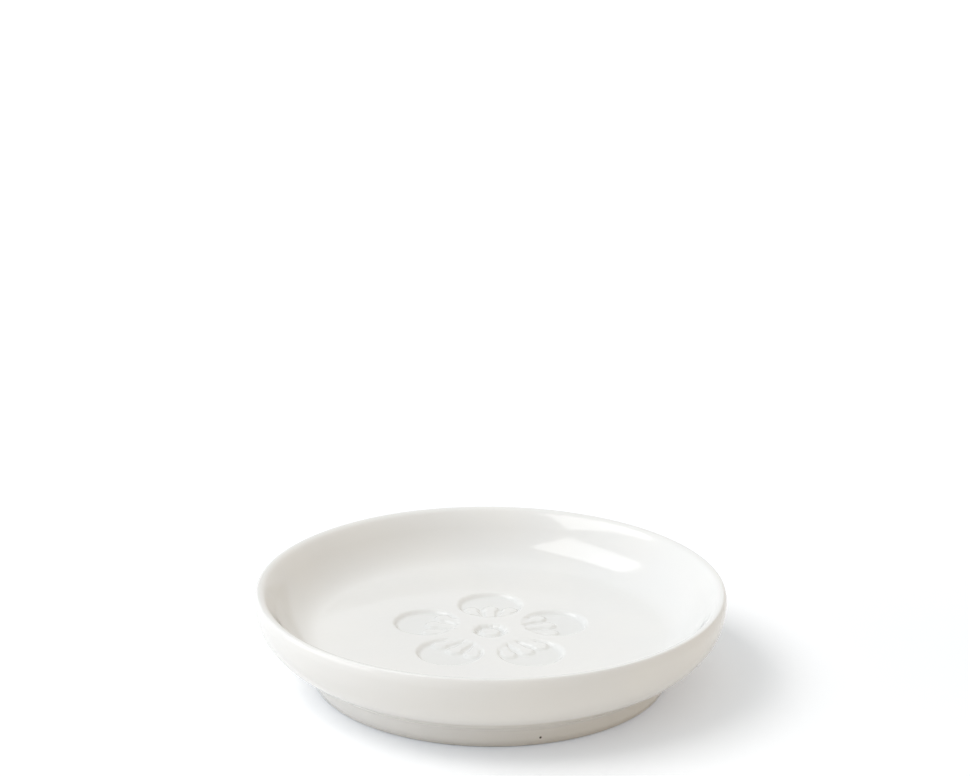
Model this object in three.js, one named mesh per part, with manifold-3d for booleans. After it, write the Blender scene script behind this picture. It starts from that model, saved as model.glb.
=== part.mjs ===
// A small round porcelain sauce dish on a foot ring, in millimetres, +Z up.
// It stands with its standing edge on z = 0 and its axis on the Z axis.
import * as THREE from 'three';
import { mergeVertices } from 'three/addons/utils/BufferGeometryUtils.js';
import Module from 'manifold-3d';

// Overall sizes, over the glaze.
const rimDiameter = 95;
const dishHeight = 19;
const glazeThickness = 0.4;

// Lip: rounded over on both sides of its crest, and steepening inside as it runs into the wall.
const lipOuterWidth = 0.65;
const lipOuterDepth = 2;
const lipInnerRound = 0.85;
const lipInnerSlope = THREE.MathUtils.degToRad(47);
const lipInnerWidth = 3.4;
const lipInnerDepth = 3.4;

// Belly: one full curve from the lip in to the turn above the foot, nearly upright at the top.
const bellyTurnInset = 4.5;
const bellyTurnRise = 3;
const bellyTurnSlope = THREE.MathUtils.degToRad(44);
const bellyTopSlope = THREE.MathUtils.degToRad(86);
const bellyFullness = 0.42;

// Foot ring: slightly wider at its root, with a bare rounded standing edge.
const footInset = 11.3;
const footHeight = 5;
const footFlare = 0.3;
const footThickness = 3.6;
const footFillet = 1.8;
const standingEdgeRound = 0.5;
const bareBand = 0.05;

// Inside: a flat floor that sweeps up in one broad curve to a leaning wall under the lip.
const floorThickness = 4.4;
const sweepReach = 5.1;
const innerSlope = THREE.MathUtils.degToRad(60);
const innerFullness = 0.25;

// Relief: a round-petalled blossom, as pressed in the clay, with raised stamens and pistil.
const reliefDepth = 0.8;
const petalCount = 5;
const petalRadius = 7.5;
const petalGap = 1.1;
const heartBand = 1.8;
const pistilRadius = 1.1;
const stamensPerPetal = 3;
const stamenWidth = 0.5;
const stamenReach = 6;
const stamenSpread = THREE.MathUtils.degToRad(19);
const antherRadius = 0.7;

// Fineness of the round forms.
const turnSegments = 48;
const petalSegments = 24;
const antherSegments = 10;
const curveSteps = 6;
const filletSteps = 3;

const wasm = await Module();
wasm.setup();

// Heights and radii that several pieces share.
const rimRadius = rimDiameter / 2;
const footBaseRadius = rimRadius - footInset;
const footRootRadius = footBaseRadius + footFlare;
const wellRadius = footBaseRadius - footThickness;
const wipedHeight = standingEdgeRound + bareBand;
const floorHeight = footHeight + floorThickness;
const clayFloorHeight = floorHeight - glazeThickness;

// Moves a profile to its left, by the same distance from each of its stretches.
function offsetProfile(points, distance) {
  const lefts = [];
  for (let i = 1; i < points.length; i += 1) {
    const along = points[i].clone().sub(points[i - 1]).normalize();
    lefts.push(new THREE.Vector2(-along.y, along.x));
  }
  return points.map((point, i) => {
    const before = lefts[Math.max(i - 1, 0)];
    const after = lefts[Math.min(i, lefts.length - 1)];
    const middle = before.clone().add(after).normalize();
    return point.clone().addScaledVector(middle, distance / middle.dot(after));
  });
}

// Turns a profile of (radius, height) points round the Z axis.
function turned(profile) {
  return new THREE.LatheGeometry(profile, turnSegments).rotateX(Math.PI / 2);
}

// The outside of the foot, over the glaze, from the wiped line up to the fillet.
function footSidePoints() {
  return [
    new THREE.Vector2(footBaseRadius, wipedHeight),
    new THREE.Vector2(footRootRadius, footHeight - footFillet),
  ];
}

// The hollow fillet where the outside of the foot runs into the underside of the dish.
function footFilletPoints() {
  const fillet = new THREE.Path();
  const centreRadius = footRootRadius + footFillet;
  fillet.absarc(centreRadius, footHeight - footFillet, footFillet, Math.PI, Math.PI / 2, true);
  return fillet.getSpacedPoints(filletSteps);
}

// A step of a given length that rises outward at a given slope.
function rise(length, slope) {
  return new THREE.Vector2(length * Math.cos(slope), length * Math.sin(slope));
}

// The dish over the glaze: underside, belly, lip, inner wall and floor.
function bowlPoints() {
  const turn = new THREE.Vector2(rimRadius - bellyTurnInset, footHeight + bellyTurnRise);
  const lipSide = new THREE.Vector2(rimRadius, dishHeight - lipOuterDepth);
  const reach = turn.distanceTo(lipSide) * bellyFullness;
  const belly = new THREE.CubicBezierCurve(
    turn,
    turn.clone().add(rise(reach, bellyTurnSlope)),
    lipSide.clone().sub(rise(reach, bellyTopSlope)),
    lipSide,
  );

  const crest = new THREE.Vector2(rimRadius - lipOuterWidth, dishHeight);
  const lipOutside = new THREE.EllipseCurve(
    crest.x, lipSide.y, lipOuterWidth, lipOuterDepth, 0, Math.PI / 2,
  );
  const lipCorner = new THREE.Vector2(crest.x - lipInnerRound, crest.y);
  const shoulder = lipCorner.clone().sub(rise(lipInnerRound, lipInnerSlope));
  const lipInside = new THREE.QuadraticBezierCurve(crest, lipCorner, shoulder);

  const wallTop = new THREE.Vector2(crest.x - lipInnerWidth, dishHeight - lipInnerDepth);
  const lean = shoulder.distanceTo(wallTop) * innerFullness;
  const innerWall = new THREE.CubicBezierCurve(
    shoulder,
    shoulder.clone().sub(rise(lean, lipInnerSlope)),
    wallTop.clone().add(rise(lean, innerSlope)),
    wallTop,
  );
  const drop = (wallTop.y - floorHeight) / Math.sin(innerSlope);
  const corner = wallTop.clone().sub(rise(drop, innerSlope));
  const innerSweep = new THREE.QuadraticBezierCurve(
    wallTop,
    corner,
    new THREE.Vector2(corner.x - sweepReach, floorHeight),
  );
  return [
    new THREE.Vector2(footRootRadius + footFillet, footHeight),
    ...belly.getPoints(curveSteps),
    ...lipOutside.getPoints(filletSteps).slice(1),
    ...lipInside.getPoints(filletSteps).slice(1),
    ...innerWall.getPoints(filletSteps).slice(1),
    ...innerSweep.getPoints(curveSteps).slice(1),
    new THREE.Vector2(0, floorHeight),
  ];
}

// The well inside the foot ring, over the glaze, from the axis out and down to the wiped line.
function wellPoints() {
  const fillet = new THREE.Path();
  fillet.absarc(wellRadius - footFillet, footHeight - footFillet, footFillet, Math.PI / 2, 0, true);
  return [
    new THREE.Vector2(0, footHeight),
    ...fillet.getSpacedPoints(filletSteps),
    new THREE.Vector2(wellRadius, wipedHeight),
  ];
}

// A closed mesh as a solid for joining and cutting.
function solidOf(geometry) {
  geometry.deleteAttribute('normal');
  geometry.deleteAttribute('uv');
  const merged = mergeVertices(geometry);
  const mesh = new wasm.Mesh({
    numProp: 3,
    vertProperties: merged.attributes.position.array,
    triVerts: Uint32Array.from(merged.index.array),
  });
  mesh.merge();
  return new wasm.Manifold(mesh);
}

// A joined and cut solid as a mesh again.
function geometryOf(solid) {
  const mesh = solid.getMesh();
  const geometry = new THREE.BufferGeometry();
  geometry.setAttribute('position', new THREE.BufferAttribute(mesh.vertProperties, mesh.numProp));
  geometry.setIndex(new THREE.BufferAttribute(mesh.triVerts, 1));
  geometry.computeVertexNormals();
  return geometry;
}

// An upright round post between two heights, at a distance and an angle from the axis.
function post(radius, segments, bottom, top, distance, angle) {
  return solidOf(
    new THREE.CylinderGeometry(radius, radius, top - bottom, segments)
      .rotateX(Math.PI / 2)
      .translate(distance, 0, (bottom + top) / 2)
      .rotateZ(angle),
  );
}

// An upright bar between two heights that runs outward from the axis.
function bar(width, bottom, top, inner, outer, angle) {
  return solidOf(
    new THREE.BoxGeometry(outer - inner, width, top - bottom)
      .translate((inner + outer) / 2, 0, (bottom + top) / 2)
      .rotateZ(angle),
  );
}

// The sunk space of the blossom between two heights, with a lining of a given thickness on its sides.
function blossomSpace(lining, bottom, top) {
  const petalDistance = (petalRadius + petalGap / 2) / Math.sin(Math.PI / petalCount);
  const petalStart = petalDistance - petalRadius;
  const antherDistance = petalStart + stamenReach;
  const past = reliefDepth;
  let space = post(petalStart - heartBand - lining, petalSegments, bottom, top, 0, 0)
    .subtract(post(pistilRadius + lining, antherSegments, bottom - past, top + past, 0, 0));
  for (let petal = 0; petal < petalCount; petal += 1) {
    const petalAngle = Math.PI / 2 + (petal * 2 * Math.PI) / petalCount;
    let hollow = post(petalRadius - lining, petalSegments, bottom, top, petalDistance, petalAngle);
    for (let stamen = 0; stamen < stamensPerPetal; stamen += 1) {
      const angle = petalAngle + (stamen - (stamensPerPetal - 1) / 2) * stamenSpread;
      const filament = bar(
        stamenWidth + 2 * lining,
        bottom - past,
        top + past,
        petalStart - heartBand / 2,
        antherDistance,
        angle,
      );
      const anther = post(
        antherRadius + lining,
        antherSegments,
        bottom - past,
        top + past,
        antherDistance,
        angle,
      );
      hollow = hollow.subtract(filament).subtract(anther);
    }
    space = space.add(hollow);
  }
  return space;
}

// Profiles over the glaze, and the clay surfaces one coat further in.
const footSide = footSidePoints();
const footFilletCurve = footFilletPoints();
const outside = [...footSide, ...footFilletCurve.slice(1), ...bowlPoints().slice(1)];
const well = wellPoints();
const clayOutside = offsetProfile(outside, glazeThickness);
const clayWell = offsetProfile(well, glazeThickness);
const rootIndex = footSide.length - 1;
const seatIndex = rootIndex + filletSteps;

// Clay dish: from the axis across the seat of the foot, then all round the bowl to the floor.
const bodySolid = solidOf(turned([...clayWell.slice(0, 2), ...clayOutside.slice(seatIndex)]))
  .subtract(blossomSpace(0, clayFloorHeight - reliefDepth, floorHeight));

// Glaze: one coat over the outside, the lip and the inside, which also lines the sunk blossom.
const coatSolid = solidOf(turned([...outside, ...clayOutside.toReversed(), outside[0]]))
  .add(blossomSpace(0, clayFloorHeight - reliefDepth, floorHeight - glazeThickness / 2))
  .subtract(blossomSpace(glazeThickness, floorHeight - reliefDepth, floorHeight + reliefDepth));

// Foot ring: the clay inside the two coats, down to a flat standing edge with rounded corners.
function footRingProfile() {
  const outerSide = clayOutside.slice(0, rootIndex + 1);
  const innerSide = clayWell.slice(1 + filletSteps);
  const outerRadius = outerSide[0].x;
  const innerRadius = innerSide.at(-1).x;
  const standingEdge = new THREE.Path();
  standingEdge.absarc(
    innerRadius + standingEdgeRound, standingEdgeRound, standingEdgeRound, Math.PI, Math.PI * 1.5, false,
  );
  standingEdge.absarc(
    outerRadius - standingEdgeRound, standingEdgeRound, standingEdgeRound, Math.PI * 1.5, Math.PI * 2, false,
  );
  return [...outerSide, ...innerSide, ...standingEdge.getPoints(filletSteps), outerSide[0]];
}

// Slip: the joint between the top of the foot ring and its seat, hollow-sided like the fillets.
function slipProfile() {
  const outerSide = clayOutside.slice(rootIndex, seatIndex + 1);
  const innerSide = clayWell.slice(1, 2 + filletSteps);
  return [...outerSide, ...innerSide, outerSide[0]];
}

// A named piece in its own fired colour.
function piece(name, geometry, color, roughness) {
  const material = new THREE.MeshStandardMaterial({ color, roughness, metalness: 0 });
  const mesh = new THREE.Mesh(geometry, material);
  mesh.name = name;
  return mesh;
}

const clayColour = 0xe6e1d6;
const slipColour = 0xddd7ca;
const glazeColour = 0xeeeeec;

const sauceDish = new THREE.Group();
sauceDish.add(
  piece('pressed_body', geometryOf(bodySolid), clayColour, 0.75),
  piece('foot_ring', turned(footRingProfile()), clayColour, 0.8),
  piece('luting_slip', turned(slipProfile()), slipColour, 0.85),
  piece('glaze_coat', geometryOf(coatSolid), glazeColour, 0.08),
  piece('well_glaze', turned([...well, ...clayWell.toReversed()]), glazeColour, 0.1),
);

export default sauceDish;
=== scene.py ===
"""A small white porcelain sauce dish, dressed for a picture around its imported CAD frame.

The dish is thrown piece by piece on a potter's wheel made of Blender's own tools: a half
section is drawn by extruding a point, and spun round the axis. The glaze over the dish, the
bare foot ring and the glaze in the well under the dish are new pieces; the clay body and the
slip that joins the foot to it keep their CAD shapes inside them.
"""

import logging
import math
from collections.abc import Iterable, Sequence
from dataclasses import dataclass, field
from enum import Enum

import bpy
import numpy as np
from mathutils import Euler, Matrix, Vector


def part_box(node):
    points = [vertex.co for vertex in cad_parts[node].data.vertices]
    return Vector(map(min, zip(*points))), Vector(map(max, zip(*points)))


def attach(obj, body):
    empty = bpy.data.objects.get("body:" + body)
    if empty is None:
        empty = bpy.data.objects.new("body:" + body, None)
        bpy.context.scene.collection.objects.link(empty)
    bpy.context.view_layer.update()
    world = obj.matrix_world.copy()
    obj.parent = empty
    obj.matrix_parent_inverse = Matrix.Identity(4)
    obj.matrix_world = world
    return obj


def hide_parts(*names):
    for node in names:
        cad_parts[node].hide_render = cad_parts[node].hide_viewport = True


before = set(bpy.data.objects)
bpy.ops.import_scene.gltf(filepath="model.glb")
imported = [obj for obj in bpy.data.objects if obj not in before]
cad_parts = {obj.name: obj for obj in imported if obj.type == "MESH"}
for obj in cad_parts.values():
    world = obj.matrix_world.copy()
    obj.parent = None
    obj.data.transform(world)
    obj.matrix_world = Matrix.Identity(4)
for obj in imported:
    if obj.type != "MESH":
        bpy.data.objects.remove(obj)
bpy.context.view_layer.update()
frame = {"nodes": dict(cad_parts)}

MM = 0.001
LOG = logging.getLogger("sauce_dish")

Point = tuple[float, float]
Colour = tuple[float, float, float, float]
Place = tuple[float, float, float]
BLACK: Colour = (0.0, 0.0, 0.0, 1.0)
ORIGIN: Place = (0.0, 0.0, 0.0)
TO_RIGHT: Place = (1.0, 0.0, 0.0)
UPWARD: Place = (0.0, 0.0, 1.0)

SAME_POINT = 0.001 * MM
MERGE_REACH = 0.002 * MM
FLOOR_SLACK = 0.01 * MM

MIX_FIRST = 6
MIX_SECOND = 7
MIX_RESULT = 2


class Node(Enum):
    """The CAD nodes of the dish."""

    BODY = "pressed_body"
    FOOT = "foot_ring"
    SLIP = "luting_slip"
    COAT = "glaze_coat"
    WELL = "well_glaze"


class Slot(Enum):
    """The record's material slots that new pieces take."""

    FOOT = "foot_clay"
    COAT = "glaze"
    WELL = "well_glaze"


class Layer(Enum):
    """Names of the vertex groups and attributes that the pieces carry."""

    RELIEF = "relief"
    # Share of the darker pooled glaze: thick glaze, and painted shade in the sunk relief and in the
    # notch under the belly.
    POOL = "pool_and_shade"


ROOT = "root"


# Drawing half sections


def line(start: Point, end: Point, steps: int) -> list[Point]:
    """Points along a straight stretch.

    Args:
        start: Radius and height of its first point.
        end: Radius and height of its last point.
        steps: How many stretches it is divided into.

    Returns:
        The points, both ends included.
    """
    return [
        (start[0] + (end[0] - start[0]) * i / steps, start[1] + (end[1] - start[1]) * i / steps)
        for i in range(steps + 1)
    ]


def arc(centre: Point, radii: Point, first: float, last: float, steps: int) -> list[Point]:
    """Points along an arc of an upright ellipse.

    Args:
        centre: Radius and height of the arc's centre.
        radii: The arc's own half width and half height.
        first: Angle of its first point, in degrees.
        last: Angle of its last point, in degrees.
        steps: How many stretches it is divided into.

    Returns:
        The points, both ends included.
    """
    angles = [math.radians(first + (last - first) * i / steps) for i in range(steps + 1)]
    return [(centre[0] + radii[0] * math.cos(a), centre[1] + radii[1] * math.sin(a)) for a in angles]


def bezier(controls: Sequence[Point], steps: int) -> list[Point]:
    """Points along a Bezier curve of any degree.

    Args:
        controls: The control points, both ends included.
        steps: How many stretches it is divided into.

    Returns:
        The points, both ends included.
    """
    degree = len(controls) - 1
    points = []
    for i in range(steps + 1):
        t = i / steps
        weights = [math.comb(degree, k) * t**k * (1 - t) ** (degree - k) for k in range(degree + 1)]
        points.append(
            (
                sum(w * c[0] for w, c in zip(weights, controls)),
                sum(w * c[1] for w, c in zip(weights, controls)),
            )
        )
    return points


def chain(*runs: Iterable[Point]) -> list[Point]:
    """Joins runs of points end to end.

    Args:
        *runs: The runs, in order.

    Returns:
        One run, without points that repeat the one before.
    """
    points: list[Point] = []
    for run in runs:
        for point in run:
            if not points or math.dist(point, points[-1]) > SAME_POINT:
                points.append(point)
    return points


def slide(start: Point, length: float, slope: float) -> Point:
    """The point a given length up from a start, along a slope given as an angle."""
    return (start[0] + length * math.cos(slope), start[1] + length * math.sin(slope))


def inset(points: Sequence[Point], distance: float) -> list[Point]:
    """Moves a run of points to its left, by the same distance from each of its stretches.

    Args:
        points: The run.
        distance: How far it moves.

    Returns:
        The moved points, one for each.
    """
    places = np.array(points)
    along = np.diff(places, axis=0)
    lefts = np.stack((-along[:, 1], along[:, 0]), axis=1) / np.linalg.norm(along, axis=1)[:, None]
    before, after = np.vstack((lefts[:1], lefts)), np.vstack((lefts, lefts[-1:]))
    middle = (before + after) / np.linalg.norm(before + after, axis=1)[:, None]
    reach = distance / np.sum(middle * after, axis=1)
    return [(float(r), float(z)) for r, z in places + middle * reach[:, None]]


@dataclass(frozen=True)
class DishSection:
    """Half section of the dish over its glaze. Sizes are in metres.

    The rim and the height come from the CAD frame; the rest repeats the CAD sizes.
    """

    rim_radius: float
    height: float
    glaze: float = 0.4 * MM
    glaze_edge: float = 0.06 * MM
    glaze_fade: float = 1.3 * MM
    lip_outer_width: float = 0.65 * MM
    lip_outer_depth: float = 2.0 * MM
    lip_inner_round: float = 0.85 * MM
    lip_inner_slope: float = math.radians(47.0)
    lip_inner_width: float = 3.4 * MM
    lip_inner_depth: float = 3.4 * MM
    turn_inset: float = 4.5 * MM
    turn_rise: float = 3.0 * MM
    turn_slope: float = math.radians(44.0)
    turn_round: float = 1.7 * MM
    belly_top_slope: float = math.radians(86.0)
    belly_fullness: float = 0.42
    foot_inset: float = 11.3 * MM
    foot_height: float = 5.0 * MM
    foot_flare: float = 0.3 * MM
    foot_thickness: float = 3.6 * MM
    foot_fillet: float = 1.8 * MM
    edge_round: float = 0.6 * MM
    bare_band: float = 0.05 * MM
    floor_thickness: float = 4.4 * MM
    sweep_reach: float = 5.1 * MM
    inner_slope: float = math.radians(60.0)
    inner_fullness: float = 0.25
    relief_reach: float = 23.0 * MM
    relief_pitch: float = 0.3 * MM
    side_steps: int = 4
    turn_steps: int = 6
    edge_steps: int = 8
    round_steps: int = 10
    crest_steps: int = 12
    lip_steps: int = 18
    inner_steps: int = 20
    sweep_steps: int = 40
    belly_steps: int = 44
    hidden_step: int = 6

    @property
    def floor_height(self) -> float:
        """Height of the glazed floor."""
        return self.foot_height + self.floor_thickness

    @property
    def wiped_height(self) -> float:
        """Height of the line below which the foot is wiped clean of glaze."""
        return self.edge_round + self.bare_band

    @property
    def foot_base(self) -> float:
        """Outer radius of the glazed foot at the wiped line."""
        return self.rim_radius - self.foot_inset

    @property
    def foot_root(self) -> float:
        """Outer radius of the glazed foot where its fillet starts."""
        return self.foot_base + self.foot_flare

    @property
    def well_radius(self) -> float:
        """Radius of the glazed well inside the foot ring."""
        return self.foot_base - self.foot_thickness

    @property
    def crest_radius(self) -> float:
        """Radius of the lip's crest."""
        return self.rim_radius - self.lip_outer_width

    def foot_radius(self, height: float) -> float:
        """Outer radius of the foot at a height, where its glaze has its full thickness."""
        rise = self.foot_height - self.foot_fillet - self.wiped_height
        return self.foot_base + self.foot_flare * (height - self.wiped_height) / rise

    def foot_side(self) -> list[Point]:
        """Outside of the foot, from the wiped line, where the glaze is thin, up into the underside."""
        fillet = self.foot_fillet
        fillet_height = self.foot_height - fillet
        hollow = (self.foot_root + fillet, fillet_height)
        wiped = (self.foot_base - self.glaze + self.glaze_edge, self.wiped_height)
        full_height = self.wiped_height + self.glaze_fade
        full = (self.foot_radius(full_height), full_height)
        middle = (wiped[1] + full[1]) / 2
        return chain(
            bezier((wiped, (self.foot_radius(middle), middle), full), self.round_steps),
            line(full, (self.foot_root, fillet_height), self.side_steps),
            arc(hollow, (fillet, fillet), 180.0, 90.0, self.round_steps),
        )

    def belly(self) -> list[Point]:
        """Underside and belly, up to the lip."""
        under = (self.foot_root + self.foot_fillet, self.foot_height)
        turn = (self.rim_radius - self.turn_inset, self.foot_height + self.turn_rise)
        lip_side = (self.rim_radius, self.height - self.lip_outer_depth)
        reach = math.dist(turn, lip_side) * self.belly_fullness
        start = slide(turn, reach, self.turn_slope)
        finish = slide(lip_side, -reach, self.belly_top_slope)
        full = bezier((turn, start, finish, lip_side), self.belly_steps)
        span = math.dist(under, turn)
        share = 1.0 - self.turn_round / span
        before = (under[0] + (turn[0] - under[0]) * share, under[1] + (turn[1] - under[1]) * share)
        after = next(i for i, p in enumerate(full) if math.dist(p, turn) > self.turn_round)
        return chain(
            line(under, before, self.round_steps),
            bezier((before, turn, full[after]), self.turn_steps),
            full[after:],
        )

    def lip(self) -> list[Point]:
        """Lip, from the wall outside over the crest to the wall inside."""
        crest = (self.crest_radius, self.height)
        wall_top = (crest[0] - self.lip_inner_width, crest[1] - self.lip_inner_depth)
        corner = (crest[0] - self.lip_inner_round, crest[1])
        shoulder = slide(corner, -self.lip_inner_round, self.lip_inner_slope)
        reach = math.dist(shoulder, wall_top) * self.inner_fullness
        over = slide(shoulder, -reach, self.lip_inner_slope)
        under = slide(wall_top, reach, self.inner_slope)
        return chain(
            arc(
                (crest[0], crest[1] - self.lip_outer_depth),
                (self.lip_outer_width, self.lip_outer_depth),
                0.0,
                90.0,
                self.lip_steps,
            ),
            bezier((crest, corner, shoulder), self.crest_steps),
            bezier((shoulder, over, under, wall_top), self.inner_steps),
        )

    def sweep(self) -> list[Point]:
        """Inner wall and the broad curve down to the floor."""
        wall_top = (self.crest_radius - self.lip_inner_width, self.height - self.lip_inner_depth)
        length = (wall_top[1] - self.floor_height) / math.sin(self.inner_slope)
        corner = slide(wall_top, -length, self.inner_slope)
        floor_edge = (corner[0] - self.sweep_reach, self.floor_height)
        return bezier((wall_top, corner, floor_edge), self.sweep_steps)

    def floor(self, start: Point) -> list[Point]:
        """Floor, in to the axis, with close rings where the relief is pressed.

        Args:
            start: Where the sweep of the wall ends.

        Returns:
            The points, both ends included.
        """
        edge = (self.relief_reach, self.floor_height)
        rings = round(self.relief_reach / self.relief_pitch)
        return chain(
            line(start, edge, self.round_steps), line(edge, (0.0, self.floor_height), rings)
        )

    def coat(self, relief_depth: float) -> list[Point]:
        """Closed section of the glaze over the dish.

        Args:
            relief_depth: How far the relief sinks, which the hidden side stays below.

        Returns:
            The visible side from the wiped line to the axis, then the side on the clay and back.
        """
        foot, bowl = self.foot_side(), chain(self.belly(), self.lip(), self.sweep())
        clay = (self.foot_base - self.glaze, self.wiped_height)
        clay_root = (self.foot_root - self.glaze, self.foot_height - self.foot_fillet)
        hidden = inset([*bowl[: -1 : self.hidden_step], bowl[-1]], self.glaze)
        sunk = self.floor_height - relief_depth - self.glaze
        return chain(
            [clay],
            foot,
            bowl,
            self.floor(bowl[-1]),
            [(0.0, sunk), (self.relief_reach, sunk)],
            reversed(hidden),
            [clay_root, clay],
        )

    def well(self) -> list[Point]:
        """Closed section of the glaze in the well under the dish."""
        glaze, fillet, half = self.glaze, self.foot_fillet, self.glaze / 2
        ceiling, side = self.foot_height, self.well_radius
        turn, spring = side - fillet, ceiling - fillet
        bead = arc(
            (side + half, self.wiped_height + half), (half, half), 180.0, 360.0, self.edge_steps
        )
        return chain(
            line((0.0, ceiling), (turn, ceiling), self.sweep_steps),
            arc((turn, spring), (fillet, fillet), 90.0, 0.0, self.round_steps),
            line((side, spring), bead[0], self.turn_steps),
            bead,
            line(bead[-1], (side + glaze, spring), self.side_steps // 2),
            [(turn, ceiling + glaze), (0.0, ceiling + glaze)],
        )

    def foot_clay(self) -> list[Point]:
        """Closed section of the bare clay foot ring."""
        outer, inner = self.foot_base - self.glaze, self.well_radius + self.glaze
        top = self.foot_height - self.foot_fillet
        edge = self.edge_round
        return chain(
            line((inner, top), (inner, edge), self.turn_steps),
            arc((inner + edge, edge), (edge, edge), 180.0, 270.0, self.edge_steps),
            line((inner + edge, 0.0), (outer - edge, 0.0), self.edge_steps),
            arc((outer - edge, edge), (edge, edge), 270.0, 360.0, self.edge_steps),
            line((outer, edge), (self.foot_root - self.glaze, top), self.turn_steps),
            line((self.foot_root - self.glaze, top), (inner, top), self.side_steps),
        )


# The relief in the floor


def smooth_step(low: float, high: float, value: np.ndarray) -> np.ndarray:
    """Eases from 0 at low to 1 at high.

    Args:
        low: The value where the step starts.
        high: The value where it ends.
        value: The values to ease.

    Returns:
        The eased values.
    """
    t = np.clip((value - low) / (high - low), 0.0, 1.0)
    return t * t * t * (t * (6.0 * t - 15.0) + 10.0)


@dataclass(frozen=True)
class BlossomRelief:
    """A round-petalled blossom sunk in the floor, with raised stamens and pistil."""

    depth: float = 0.8 * MM
    petals: int = 5
    petal_radius: float = 7.1 * MM
    petal_gap: float = 1.9 * MM
    heart_band: float = 2.6 * MM
    pistil_radius: float = 1.5 * MM
    stamens: int = 3
    stamen_width: float = 1.2 * MM
    stamen_reach: float = 5.6 * MM
    stamen_spread: float = math.radians(19.0)
    anther_radius: float = 1.1 * MM
    slope: float = 1.4 * MM
    ridge_slope: float = 0.9 * MM
    ridge_height: float = 0.66
    petal_shallow: float = 0.78

    def sunk(self, x: np.ndarray, y: np.ndarray) -> np.ndarray:
        """How far each point of the floor is sunk.

        Args:
            x: Places across the dish, in metres.
            y: Places along the dish, in metres.

        Returns:
            The share of the full depth at each place, from 0 to 1.
        """
        petal_distance = (self.petal_radius + self.petal_gap / 2) / math.sin(math.pi / self.petals)
        petal_start = petal_distance - self.petal_radius
        heart = petal_start - self.heart_band
        radius = np.hypot(x, y)
        sunk = smooth_step(0.0, self.slope, heart - radius)
        ridge = 1.0 - smooth_step(0.0, self.ridge_slope, radius - self.pistil_radius)
        for petal in range(self.petals):
            turn = math.pi / 2 + petal * 2.0 * math.pi / self.petals
            centre = (petal_distance * math.cos(turn), petal_distance * math.sin(turn))
            inside = self.petal_radius - np.hypot(x - centre[0], y - centre[1])
            outward = smooth_step(petal_start, petal_distance + self.petal_radius, radius)
            dished = self.petal_shallow + (1.0 - self.petal_shallow) * outward
            sunk = np.maximum(sunk, smooth_step(0.0, self.slope, inside) * dished)
            for stamen in range(self.stamens):
                angle = turn + (stamen - (self.stamens - 1) / 2) * self.stamen_spread
                along = x * math.cos(angle) + y * math.sin(angle)
                across = y * math.cos(angle) - x * math.sin(angle)
                reach = petal_start + self.stamen_reach
                past = np.maximum(np.maximum(along - reach, heart - along), 0.0)
                filament = np.hypot(across, past) - self.stamen_width / 2
                anther = np.hypot(along - reach, across) - self.anther_radius
                nearest = np.minimum(filament, anther)
                ridge = np.maximum(ridge, 1.0 - smooth_step(0.0, self.ridge_slope, nearest))
        return sunk * (1.0 - self.ridge_height * ridge)


# Modelling tools


class Wheel:
    """A potter's wheel: it throws a half section round the Z axis."""

    @staticmethod
    def throw(name: str, section: Sequence[Point], segments: int) -> bpy.types.Object:
        """Draws a half section by extruding a point, and spins it round the axis.

        Args:
            name: The new piece's name.
            section: Radius and height of each point, in order.
            segments: How many stretches the full turn is divided into.

        Returns:
            The thrown piece, closed and smooth, at the origin.
        """
        bpy.ops.object.select_all(action="DESELECT")
        bpy.ops.mesh.primitive_plane_add(size=1.0 * MM)
        piece = bpy.context.object
        piece.name = piece.data.name = name
        bpy.ops.object.mode_set(mode="EDIT")
        bpy.ops.mesh.merge(type="CENTER")
        bpy.ops.transform.translate(value=(section[0][0], 0.0, section[0][1]))
        for before, after in zip(section, section[1:]):
            step = (after[0] - before[0], 0.0, after[1] - before[1])
            bpy.ops.mesh.extrude_vertices_move(TRANSFORM_OT_translate={"value": step})
        bpy.ops.mesh.select_all(action="SELECT")
        bpy.ops.mesh.spin(
            steps=segments, angle=2.0 * math.pi, center=ORIGIN, axis=UPWARD
        )
        bpy.ops.mesh.select_all(action="SELECT")
        bpy.ops.mesh.remove_doubles(threshold=MERGE_REACH)
        bpy.ops.mesh.normals_make_consistent(inside=False)
        bpy.ops.object.mode_set(mode="OBJECT")
        bpy.ops.object.shade_smooth()
        return piece

    @staticmethod
    def apply(piece: bpy.types.Object) -> None:
        """Applies every modifier of a piece, in order."""
        bpy.ops.object.select_all(action="DESELECT")
        piece.select_set(True)
        bpy.context.view_layer.objects.active = piece
        for modifier in list(piece.modifiers):
            bpy.ops.object.modifier_apply(modifier=modifier.name)

    @staticmethod
    def places(piece: bpy.types.Object) -> np.ndarray:
        """The places of a piece's vertices, one row each."""
        flat = np.empty(len(piece.data.vertices) * 3)
        piece.data.vertices.foreach_get("co", flat)
        return flat.reshape(-1, 3)

    @staticmethod
    def paint(piece: bpy.types.Object, layer: Layer, values: np.ndarray) -> None:
        """Stores one value per vertex as an attribute of the piece's mesh."""
        attribute = piece.data.attributes.new(layer.value, "FLOAT", "POINT")
        attribute.data.foreach_set("value", values.astype(np.float32))

    @staticmethod
    def weigh(piece: bpy.types.Object, layer: Layer, values: np.ndarray) -> None:
        """Stores one weight per vertex in a vertex group, where it is above zero."""
        group = piece.vertex_groups.new(name=layer.value)
        for index in np.flatnonzero(values > 0.0):
            group.add([int(index)], float(values[index]), "REPLACE")


# Finishes


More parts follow.
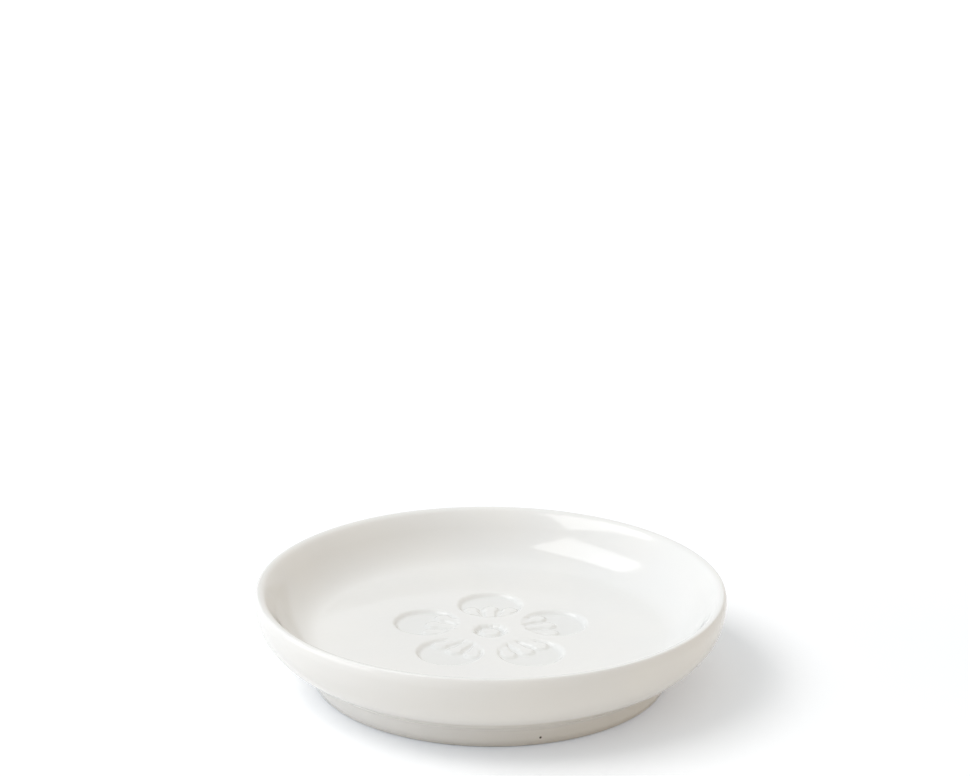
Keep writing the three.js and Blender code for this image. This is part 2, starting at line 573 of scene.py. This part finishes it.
class NodeDesk:
    """Places and links shader nodes in one tree."""

    def __init__(self, tree: bpy.types.NodeTree) -> None:
        """Takes the tree to work on."""
        self.tree = tree

    def add(self, kind: str, **settings: object) -> bpy.types.Node:
        """Adds a node.

        Args:
            kind: The node's type name.
            **settings: Values for the node's own properties.

        Returns:
            The new node.
        """
        node = self.tree.nodes.new(kind)
        for key, value in settings.items():
            setattr(node, key, value)
        return node

    def feed(self, socket: bpy.types.NodeSocket, source: object) -> None:
        """Links a socket to another, or sets its value."""
        if isinstance(source, bpy.types.NodeSocket):
            self.tree.links.new(source, socket)
        else:
            socket.default_value = source

    def math(self, operation: str, *inputs: object) -> bpy.types.NodeSocket:
        """Adds a Math node.

        Args:
            operation: The operation's name.
            *inputs: Sockets or numbers, in order.

        Returns:
            The result's socket.
        """
        node = self.add("ShaderNodeMath", operation=operation)
        for socket, source in zip(node.inputs, inputs):
            self.feed(socket, source)
        return node.outputs[0]

    def blend(
        self, factor: object, first: object, second: object, kind: str = "MIX"
    ) -> bpy.types.NodeSocket:
        """Mixes two colours by a factor, or adds them, and returns the result's socket."""
        node = self.add("ShaderNodeMix", data_type="RGBA", blend_type=kind)
        self.feed(node.inputs["Factor"], factor)
        self.feed(node.inputs[MIX_FIRST], first)
        self.feed(node.inputs[MIX_SECOND], second)
        return node.outputs[MIX_RESULT]

    def noise(
        self, place: object, scale: object, detail: float = 2.0, rough: float = 0.5
    ) -> bpy.types.NodeSocket:
        """Adds a Noise Texture and returns its value's socket."""
        node = self.add("ShaderNodeTexNoise")
        self.feed(node.inputs["Vector"], place)
        self.feed(node.inputs["Scale"], scale)
        node.inputs["Detail"].default_value = detail
        node.inputs["Roughness"].default_value = rough
        return node.outputs["Fac"]

    def measure(self, operation: str, first: object, second: object) -> bpy.types.NodeSocket:
        """Adds a Vector Math node that gives a number and returns the number's socket."""
        node = self.add("ShaderNodeVectorMath", operation=operation)
        self.feed(node.inputs[0], first)
        self.feed(node.inputs[1], second)
        return node.outputs["Value"]

    def ramp(self, value: object, low: object, high: object) -> bpy.types.NodeSocket:
        """Maps a value smoothly from 0 at low to 1 at high and returns the result's socket."""
        node = self.add("ShaderNodeMapRange", interpolation_type="SMOOTHSTEP")
        self.feed(node.inputs["Value"], value)
        self.feed(node.inputs["From Min"], low)
        self.feed(node.inputs["From Max"], high)
        return node.outputs["Result"]


def new_group(
    name: str, inputs: Sequence[tuple[str, str, object]], outputs: Sequence[tuple[str, str]]
) -> tuple[bpy.types.NodeTree, NodeDesk, bpy.types.Node, bpy.types.Node]:
    """Starts a shader node group with named sockets.

    Args:
        name: The group's name.
        inputs: Name, socket type and first value of each input.
        outputs: Name and socket type of each output.

    Returns:
        The group, a desk to work on it, its input node and its output node.
    """
    group = bpy.data.node_groups.new(name, "ShaderNodeTree")
    for label, kind, value in inputs:
        socket = group.interface.new_socket(name=label, in_out="INPUT", socket_type=kind)
        if value is not None:
            socket.default_value = value
    for label, kind in outputs:
        group.interface.new_socket(name=label, in_out="OUTPUT", socket_type=kind)
    desk = NodeDesk(group)
    return group, desk, desk.add("NodeGroupInput"), desk.add("NodeGroupOutput")


class SharedEffects:
    """Shader node groups that more than one finish uses, each built once."""

    SMALLEST_SPECK: float = 0.3
    SPECK_CORE: float = 0.6
    PORE_REACH: float = 0.3
    EVEN_SHARE: float = 0.5

    def __init__(self) -> None:
        """Builds the groups."""
        self.specks = self._specks()
        self.undulation = self._undulation()
        self.grain = self._grain()

    @staticmethod
    def _specks() -> bpy.types.NodeTree:
        """Sparse iron specks, burnt dark, of uneven sizes."""
        group, desk, given, result = new_group(
            "iron_specks",
            (
                ("Place", "NodeSocketVector", None),
                ("Spacing Scale", "NodeSocketFloat", 300.0),
                ("Share", "NodeSocketFloat", 0.02),
                ("Size", "NodeSocketFloat", 0.06),
            ),
            (("Mask", "NodeSocketFloat"),),
        )
        cells = desk.add("ShaderNodeTexVoronoi", feature="F1")
        desk.feed(cells.inputs["Vector"], given.outputs["Place"])
        desk.feed(cells.inputs["Scale"], given.outputs["Spacing Scale"])
        split = desk.add("ShaderNodeSeparateColor")
        desk.feed(split.inputs[0], cells.outputs["Color"])
        chosen = desk.math("LESS_THAN", split.outputs[0], given.outputs["Share"])
        uneven = desk.math("ADD", split.outputs[1], SharedEffects.SMALLEST_SPECK)
        size = desk.math("MULTIPLY", given.outputs["Size"], uneven)
        edge = desk.math("MULTIPLY", size, SharedEffects.SPECK_CORE)
        body = desk.math("SUBTRACT", 1.0, desk.ramp(cells.outputs["Distance"], edge, size))
        desk.feed(result.inputs["Mask"], desk.math("MULTIPLY", body, chosen))
        return group

    @staticmethod
    def _undulation() -> bpy.types.NodeTree:
        """The slow waves and fine orange peel of a fired glaze, as a height."""
        group, desk, given, result = new_group(
            "glaze_undulation",
            (
                ("Place", "NodeSocketVector", None),
                ("Wave Scale", "NodeSocketFloat", 70.0),
                ("Peel Scale", "NodeSocketFloat", 650.0),
                ("Peel Share", "NodeSocketFloat", 0.12),
            ),
            (("Height", "NodeSocketFloat"), ("Drift", "NodeSocketFloat")),
        )
        wave = desk.noise(given.outputs["Place"], given.outputs["Wave Scale"], detail=1.0, rough=0.4)
        peel = desk.noise(given.outputs["Place"], given.outputs["Peel Scale"], detail=1.0, rough=0.4)
        height = desk.math("ADD", wave, desk.math("MULTIPLY", peel, given.outputs["Peel Share"]))
        desk.feed(result.inputs["Height"], height)
        desk.feed(result.inputs["Drift"], wave)
        return group

    @staticmethod
    def _grain() -> bpy.types.NodeTree:
        """Bare fired clay: sandy grain, open pores and a slow drift of tone."""
        group, desk, given, result = new_group(
            "clay_grain",
            (
                ("Place", "NodeSocketVector", None),
                ("Grain Scale", "NodeSocketFloat", 2600.0),
                ("Drift Scale", "NodeSocketFloat", 90.0),
            ),
            (("Height", "NodeSocketFloat"), ("Tone", "NodeSocketFloat")),
        )
        sand = desk.noise(given.outputs["Place"], given.outputs["Grain Scale"], detail=3.0, rough=0.6)
        pores = desk.add("ShaderNodeTexVoronoi", feature="F1")
        desk.feed(pores.inputs["Vector"], given.outputs["Place"])
        desk.feed(pores.inputs["Scale"], given.outputs["Grain Scale"])
        pit = desk.ramp(pores.outputs["Distance"], 0.0, SharedEffects.PORE_REACH)
        drift = desk.noise(given.outputs["Place"], given.outputs["Drift Scale"], detail=2.0)
        desk.feed(result.inputs["Height"], desk.math("MULTIPLY", sand, pit))
        sandy = desk.math("MULTIPLY", sand, SharedEffects.EVEN_SHARE)
        tone = desk.math("MULTIPLY_ADD", drift, SharedEffects.EVEN_SHARE, sandy)
        desk.feed(result.inputs["Tone"], tone)
        return group


@dataclass(frozen=True)
class GlazeFinish:
    """Clear, slightly warm white glaze over porcelain."""

    name: str
    white: Colour = (0.865, 0.864, 0.852, 1.0)
    # Darker, slightly green glaze where it gathers thick; on the dish, in the sunk relief and the
    # notch under the belly, this darkening is also painted shade.
    pooled_and_shaded: Colour = (0.805, 0.815, 0.805, 1.0)
    drifted: Colour = (0.877, 0.873, 0.855, 1.0)
    speck: Colour = (0.05, 0.036, 0.026, 1.0)
    gloss: float = 0.04
    gloss_drift: float = 0.04
    ior: float = 1.41
    ripple: float = 0.1 * MM
    speck_share: float = 0.004
    spot: Place = ORIGIN
    spot_radius: float = 0.0
    spot_core: float = 0.4
    spot_fade: float = 1.2
    drift_low: float = 0.35
    drift_high: float = 0.7

    def mix(self, effects: SharedEffects) -> bpy.types.Material:
        """Builds the material.

        Args:
            effects: The shared node groups.

        Returns:
            The finished material.
        """
        material = bpy.data.materials.new(self.name)
        material.use_nodes = True
        desk = NodeDesk(material.node_tree)
        shader = material.node_tree.nodes["Principled BSDF"]
        place = desk.add("ShaderNodeTexCoord").outputs["Object"]
        waves = desk.add("ShaderNodeGroup", node_tree=effects.undulation)
        specks = desk.add("ShaderNodeGroup", node_tree=effects.specks)
        desk.feed(waves.inputs["Place"], place)
        desk.feed(specks.inputs["Place"], place)
        specks.inputs["Share"].default_value = self.speck_share
        pool_and_shade = desk.add("ShaderNodeAttribute", attribute_name=Layer.POOL.value)
        drift = desk.ramp(waves.outputs["Drift"], self.drift_low, self.drift_high)
        tone = desk.blend(drift, self.white, self.drifted)
        # Painted shade with thick glaze: darker where the pool layer is high, on the dish in the sunk
        # relief and the notch under the belly.
        tone = desk.blend(pool_and_shade.outputs["Fac"], tone, self.pooled_and_shaded)
        tone = desk.blend(specks.outputs["Mask"], tone, self.speck)
        if self.spot_radius:
            away = desk.measure("DISTANCE", place, self.spot)
            core, fade = self.spot_core * self.spot_radius, self.spot_fade * self.spot_radius
            clear = desk.ramp(away, core, fade)
            tone = desk.blend(clear, self.speck, tone)
        desk.feed(shader.inputs["Base Color"], tone)
        rough = desk.math("MULTIPLY_ADD", waves.outputs["Drift"], self.gloss_drift, self.gloss)
        desk.feed(shader.inputs["Roughness"], rough)
        shader.inputs["IOR"].default_value = self.ior
        bump = desk.add("ShaderNodeBump")
        bump.inputs["Distance"].default_value = self.ripple
        desk.feed(bump.inputs["Height"], waves.outputs["Height"])
        desk.feed(shader.inputs["Normal"], bump.outputs["Normal"])
        return material


@dataclass(frozen=True)
class ClayFinish:
    """Bare fired porcelain clay."""

    name: str
    pale: Colour = (0.83, 0.822, 0.8, 1.0)
    dark: Colour = (0.77, 0.758, 0.73, 1.0)
    speck: Colour = (0.12, 0.075, 0.045, 1.0)
    rough: float = 0.72
    rough_drift: float = 0.2
    tone_low: float = 0.3
    tone_high: float = 0.7
    relief: float = 0.05 * MM
    speck_share: float = 0.02

    def mix(self, effects: SharedEffects) -> bpy.types.Material:
        """Builds the material.

        Args:
            effects: The shared node groups.

        Returns:
            The finished material.
        """
        material = bpy.data.materials.new(self.name)
        material.use_nodes = True
        desk = NodeDesk(material.node_tree)
        shader = material.node_tree.nodes["Principled BSDF"]
        place = desk.add("ShaderNodeTexCoord").outputs["Object"]
        grain = desk.add("ShaderNodeGroup", node_tree=effects.grain)
        specks = desk.add("ShaderNodeGroup", node_tree=effects.specks)
        desk.feed(grain.inputs["Place"], place)
        desk.feed(specks.inputs["Place"], place)
        specks.inputs["Share"].default_value = self.speck_share
        sanded = desk.ramp(grain.outputs["Tone"], self.tone_low, self.tone_high)
        tone = desk.blend(sanded, self.dark, self.pale)
        tone = desk.blend(specks.outputs["Mask"], tone, self.speck)
        desk.feed(shader.inputs["Base Color"], tone)
        rough = desk.math("MULTIPLY_ADD", grain.outputs["Tone"], self.rough_drift, self.rough)
        desk.feed(shader.inputs["Roughness"], rough)
        bump = desk.add("ShaderNodeBump")
        bump.inputs["Distance"].default_value = self.relief
        desk.feed(bump.inputs["Height"], grain.outputs["Height"])
        desk.feed(shader.inputs["Normal"], bump.outputs["Normal"])
        return material


# Sub-assemblies


def seat(piece: bpy.types.Object, node: Node) -> None:
    """Ties a new piece to the frame.

    Args:
        piece: The new piece.
        node: The CAD node that it stands for.
    """
    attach(piece, ROOT)
    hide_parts(node.value)
    LOG.info("%s: %d faces", piece.name, len(piece.data.polygons))


def dress(piece: bpy.types.Object, material: bpy.types.Material) -> None:
    """Gives a piece one material."""
    piece.data.materials.clear()
    piece.data.materials.append(material)


@dataclass
class GlazedDish:
    """The glaze over the dish: outside, lip, inside and the sunk blossom."""

    section: DishSection
    relief: BlossomRelief = field(default_factory=BlossomRelief)
    segments: int = 348
    waver: float = 0.12 * MM
    waver_size: float = 28.0 * MM
    spot_turn: float = math.radians(15.4)
    spot_height: float = 1.84 * MM
    spot_radius: float = 0.3 * MM
    # Painted shade, partly thick glaze: how much darker the glaze is in the sunk relief and in the
    # notch between the belly and the foot.
    relief_pool_and_shade: float = 0.55
    notch_shade: float = 0.2
    notch_inset: float = 0.4 * MM
    notch_core: float = 0.3 * MM
    notch_reach: float = 1.6 * MM

    def build(self) -> bpy.types.Object:
        """Throws the coat, presses the blossom and lets the walls waver a little.

        Returns:
            The finished piece.
        """
        piece = Wheel.throw("dish_glaze", self.section.coat(self.relief.depth), self.segments)
        places = Wheel.places(piece)
        on_floor = np.abs(places[:, 2] - self.section.floor_height) < FLOOR_SLACK
        sunk = self.relief.sunk(places[:, 0], places[:, 1]) * on_floor
        Wheel.weigh(piece, Layer.RELIEF, sunk)
        # Painted shade: darker glaze in the sunk relief and in the notch under the belly.
        Wheel.paint(piece, Layer.POOL, self.pool_and_shade_share(places, sunk))
        press = piece.modifiers.new("press", "DISPLACE")
        press.direction = "Z"
        press.mid_level = 0.0
        press.strength = -self.relief.depth
        press.vertex_group = Layer.RELIEF.value
        clouds = bpy.data.textures.new("waver", "CLOUDS")
        clouds.noise_scale = self.waver_size
        clouds.noise_depth = 0
        waver = piece.modifiers.new("waver", "DISPLACE")
        waver.texture = clouds
        waver.texture_coords = "LOCAL"
        waver.mid_level = 0.5
        waver.strength = self.waver
        Wheel.apply(piece)
        return piece

    def pool_and_shade_share(self, places: np.ndarray, sunk: np.ndarray) -> np.ndarray:
        """Where the glaze is darker: thick glaze, and painted shade in the sunk relief and in the
        notch under the belly.

        Args:
            places: The vertices' places.
            sunk: The share of the relief's depth at each.

        Returns:
            The share of darker glaze at each vertex, from 0 to 1: thickness and painted shade.
        """
        out = np.hypot(places[:, 0], places[:, 1]) - self.section.foot_root - self.notch_inset
        up = places[:, 2] - self.section.foot_height + self.notch_inset
        # Painted shade in the notch between the belly and the foot.
        notch_shade_mask = 1.0 - smooth_step(self.notch_core, self.notch_reach, np.hypot(out, up))
        return np.clip(self.relief_pool_and_shade * sunk + self.notch_shade * notch_shade_mask, 0.0, 1.0)

    def dress(self, piece: bpy.types.Object, effects: SharedEffects) -> None:
        """Glazes the piece and ties it to the frame."""
        reach = self.section.foot_radius(self.spot_height)
        spot = (reach * math.sin(self.spot_turn), -reach * math.cos(self.spot_turn), self.spot_height)
        finish = GlazeFinish("white_glaze", spot=spot, spot_radius=self.spot_radius)
        dress(piece, finish.mix(effects))
        seat(piece, Node.COAT)


@dataclass
class FootRing:
    """The clay ring that the dish stands on, bare along its standing edge."""

    section: DishSection
    segments: int = 288

    def build(self) -> bpy.types.Object:
        """Throws the ring.

        Returns:
            The finished piece.
        """
        return Wheel.throw("foot_clay_ring", self.section.foot_clay(), self.segments)

    def dress(self, piece: bpy.types.Object, effects: SharedEffects) -> None:
        """Finishes the piece as bare clay and ties it to the frame."""
        dress(piece, ClayFinish("foot_bisque").mix(effects))
        seat(piece, Node.FOOT)


@dataclass
class WellGlaze:
    """The glaze in the well under the dish."""

    section: DishSection
    segments: int = 288
    # An even share of the darker pooled glaze over the whole well.
    pool_and_shade: float = 0.15
    speck_share: float = 0.01

    def build(self) -> bpy.types.Object:
        """Throws the coat.

        Returns:
            The finished piece.
        """
        return Wheel.throw("well_coat", self.section.well(), self.segments)

    def dress(self, piece: bpy.types.Object, effects: SharedEffects) -> None:
        """Glazes the piece and ties it to the frame."""
        Wheel.paint(piece, Layer.POOL, np.full(len(piece.data.vertices), self.pool_and_shade))
        dress(piece, GlazeFinish("well_white_glaze", speck_share=self.speck_share).mix(effects))
        seat(piece, Node.WELL)


@dataclass
class ClayCore:
    """The clay dish and the slip under the glaze, which keep their CAD shapes."""

    nodes: dict[str, bpy.types.Object]
    slip_rough: float = 0.8

    def dress(self, effects: SharedEffects) -> None:
        """Finishes both CAD nodes as fired clay."""
        dress(self.nodes[Node.BODY.value], ClayFinish("body_bisque").mix(effects))
        slip = ClayFinish("slip_bisque", rough=self.slip_rough)
        dress(self.nodes[Node.SLIP.value], slip.mix(effects))
        LOG.info("clay core: %s, %s", Node.BODY.value, Node.SLIP.value)


# The studio


@dataclass(frozen=True)
class Studio:
    """White floor, a large soft light and a low card on the left, and the photographer's camera.

    Lengths are in metres, and the lens and sensor in millimetres, as a camera takes them.
    """

    floor_size: float = 12.0
    floor_white: Colour = (0.9, 0.886, 0.862, 1.0)
    seen_white: Colour = (1.0, 0.975, 0.945, 1.0)
    seen_lift: Colour = (0.075, 0.113, 0.163, 1.0)
    far_lift: Colour = (0.4, 0.4, 0.4, 1.0)
    far_from: float = 0.15
    far_to: float = 1.0
    room_white: Colour = (1.0, 1.0, 1.0, 1.0)
    room_right: Colour = (0.54, 0.395, 0.245, 1.0)
    room_above: Colour = (0.455, 0.565, 0.655, 1.0)
    key_from: Place = (-0.591, -0.097, 0.801)
    key_distance: float = 4.0
    key_turn: float = math.radians(14.0)
    key_size: tuple[float, float] = (3.23, 1.9)
    key_power: float = 77.6
    key_colour: tuple[float, float, float] = (1.0, 0.995, 1.0)
    card_from: Place = (-0.985, -0.12, 0.12)
    card_distance: float = 3.0
    card_size: tuple[float, float] = (3.0, 1.2)
    card_power: float = 35.0
    card_colour: tuple[float, float, float] = (1.0, 0.99, 1.0)
    lens: float = 100.0
    sensor: float = 36.0
    camera_place: Place = (-1.429 * MM, -506.458 * MM, 219.575 * MM)
    camera_pitch: float = math.radians(17.405)
    camera_roll: float = math.radians(0.392)

    def build(self) -> None:
        """Builds the floor, the lights and the camera."""
        self.lay_floor()
        self.light()
        self.set_camera()
        bpy.context.scene.view_settings.view_transform = "Standard"

    def lay_floor(self) -> None:
        """Lays a pale floor that a camera, a mirror or a glass sees as white, whiter far away."""
        bpy.ops.object.select_all(action="DESELECT")
        bpy.ops.mesh.primitive_plane_add(size=self.floor_size)
        floor = bpy.context.object
        floor.name = "floor"
        material = bpy.data.materials.new("white_floor")
        material.use_nodes = True
        desk = NodeDesk(material.node_tree)
        desk.tree.nodes.clear()
        output = desk.add("ShaderNodeOutputMaterial")
        lit = desk.add("ShaderNodeBsdfDiffuse")
        eye = self.seen_by_eye(desk)
        desk.feed(lit.inputs["Color"], desk.blend(eye, self.floor_white, self.seen_white))
        lift = desk.add("ShaderNodeEmission")
        place = desk.add("ShaderNodeTexCoord").outputs["Object"]
        away = desk.ramp(desk.measure("DISTANCE", place, ORIGIN), self.far_from, self.far_to)
        by_camera = desk.add("ShaderNodeLightPath").outputs["Is Camera Ray"]
        raised = desk.blend(desk.math("MULTIPLY", away, by_camera), self.seen_lift, self.far_lift)
        desk.feed(lift.inputs["Color"], desk.blend(eye, BLACK, raised))
        both = desk.add("ShaderNodeAddShader")
        desk.feed(both.inputs[0], lit.outputs[0])
        desk.feed(both.inputs[1], lift.outputs[0])
        desk.feed(output.inputs["Surface"], both.outputs[0])
        dress(floor, material)

    @staticmethod
    def seen_by_eye(desk: NodeDesk) -> bpy.types.NodeSocket:
        """A factor of 1 for camera, mirror and glass rays, and 0 for light on other surfaces."""
        path = desk.add("ShaderNodeLightPath").outputs
        direct = desk.math("MAXIMUM", path["Is Camera Ray"], path["Is Glossy Ray"])
        return desk.math("MAXIMUM", direct, path["Is Transmission Ray"])

    def light(self) -> None:
        """Hangs the soft key light, stands a white card on the left and sets the light of the room."""
        key = (self.key_turn, self.key_size, self.key_power, self.key_colour)
        card = (0.0, self.card_size, self.card_power, self.card_colour)
        self.hang("key", self.key_from, self.key_distance, *key)
        self.hang("card", self.card_from, self.card_distance, *card)
        world = bpy.data.worlds.new("room")
        world.use_nodes = True
        bpy.context.scene.world = world
        desk = NodeDesk(world.node_tree)
        room = world.node_tree.nodes["Background"]
        toward = desk.add("ShaderNodeTexCoord").outputs["Generated"]
        sideways = desk.measure("DOT_PRODUCT", toward, TO_RIGHT)
        right = desk.math("MULTIPLY_ADD", sideways, 0.5, 0.5)
        above = desk.math("MAXIMUM", desk.measure("DOT_PRODUCT", toward, UPWARD), 0.0)
        graded = desk.blend(above, desk.blend(right, BLACK, self.room_right), self.room_above, "ADD")
        desk.feed(room.inputs["Color"], desk.blend(self.seen_by_eye(desk), graded, self.room_white))

    @staticmethod
    def hang(
        name: str,
        direction: Place,
        distance: float,
        turn: float,
        size: tuple[float, float],
        power: float,
        colour: tuple[float, float, float],
    ) -> None:
        """Hangs a rectangular soft light that faces the dish.

        Args:
            name: The light's name.
            direction: Where it hangs, seen from the dish.
            distance: How far away it hangs.
            turn: How far it is turned about the line to the dish.
            size: Its width and height.
            power: Its power, in watts.
            colour: Its colour.
        """
        toward = Vector(direction).normalized()
        lamp = bpy.data.lights.new(name, "AREA")
        lamp.shape = "RECTANGLE"
        lamp.size, lamp.size_y = size
        lamp.energy = power
        lamp.color = colour
        light = bpy.data.objects.new(name, lamp)
        facing = toward.to_track_quat("Z", "Y").to_matrix() @ Matrix.Rotation(turn, 3, "Z")
        light.matrix_world = Matrix.Translation(toward * distance) @ facing.to_4x4()
        bpy.context.collection.objects.link(light)

    def set_camera(self) -> None:
        """Sets the camera where the photograph was taken from."""
        data = bpy.data.cameras.new("camera")
        data.lens = self.lens
        data.sensor_width = self.sensor
        data.sensor_fit = "HORIZONTAL"
        camera = bpy.data.objects.new("camera", data)
        aim = Euler((math.pi / 2 - self.camera_pitch, 0.0, 0.0)).to_matrix()
        turn = (aim @ Matrix.Rotation(self.camera_roll, 3, "Z")).to_4x4()
        camera.matrix_world = Matrix.Translation(Vector(self.camera_place)) @ turn
        bpy.context.collection.objects.link(camera)
        bpy.context.scene.camera = camera


def main() -> None:
    """Builds and dresses the dish, then sets it in the studio."""
    logging.basicConfig(level=logging.INFO, format="%(name)s: %(message)s")
    _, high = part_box(Node.COAT.value)
    section = DishSection(rim_radius=float(high[0]), height=float(high[2]))
    effects = SharedEffects()
    for assembly in (GlazedDish(section), FootRing(section), WellGlaze(section)):
        assembly.dress(assembly.build(), effects)
    ClayCore(frame["nodes"]).dress(effects)
    Studio().build()


if __name__ == "__main__":
    main()
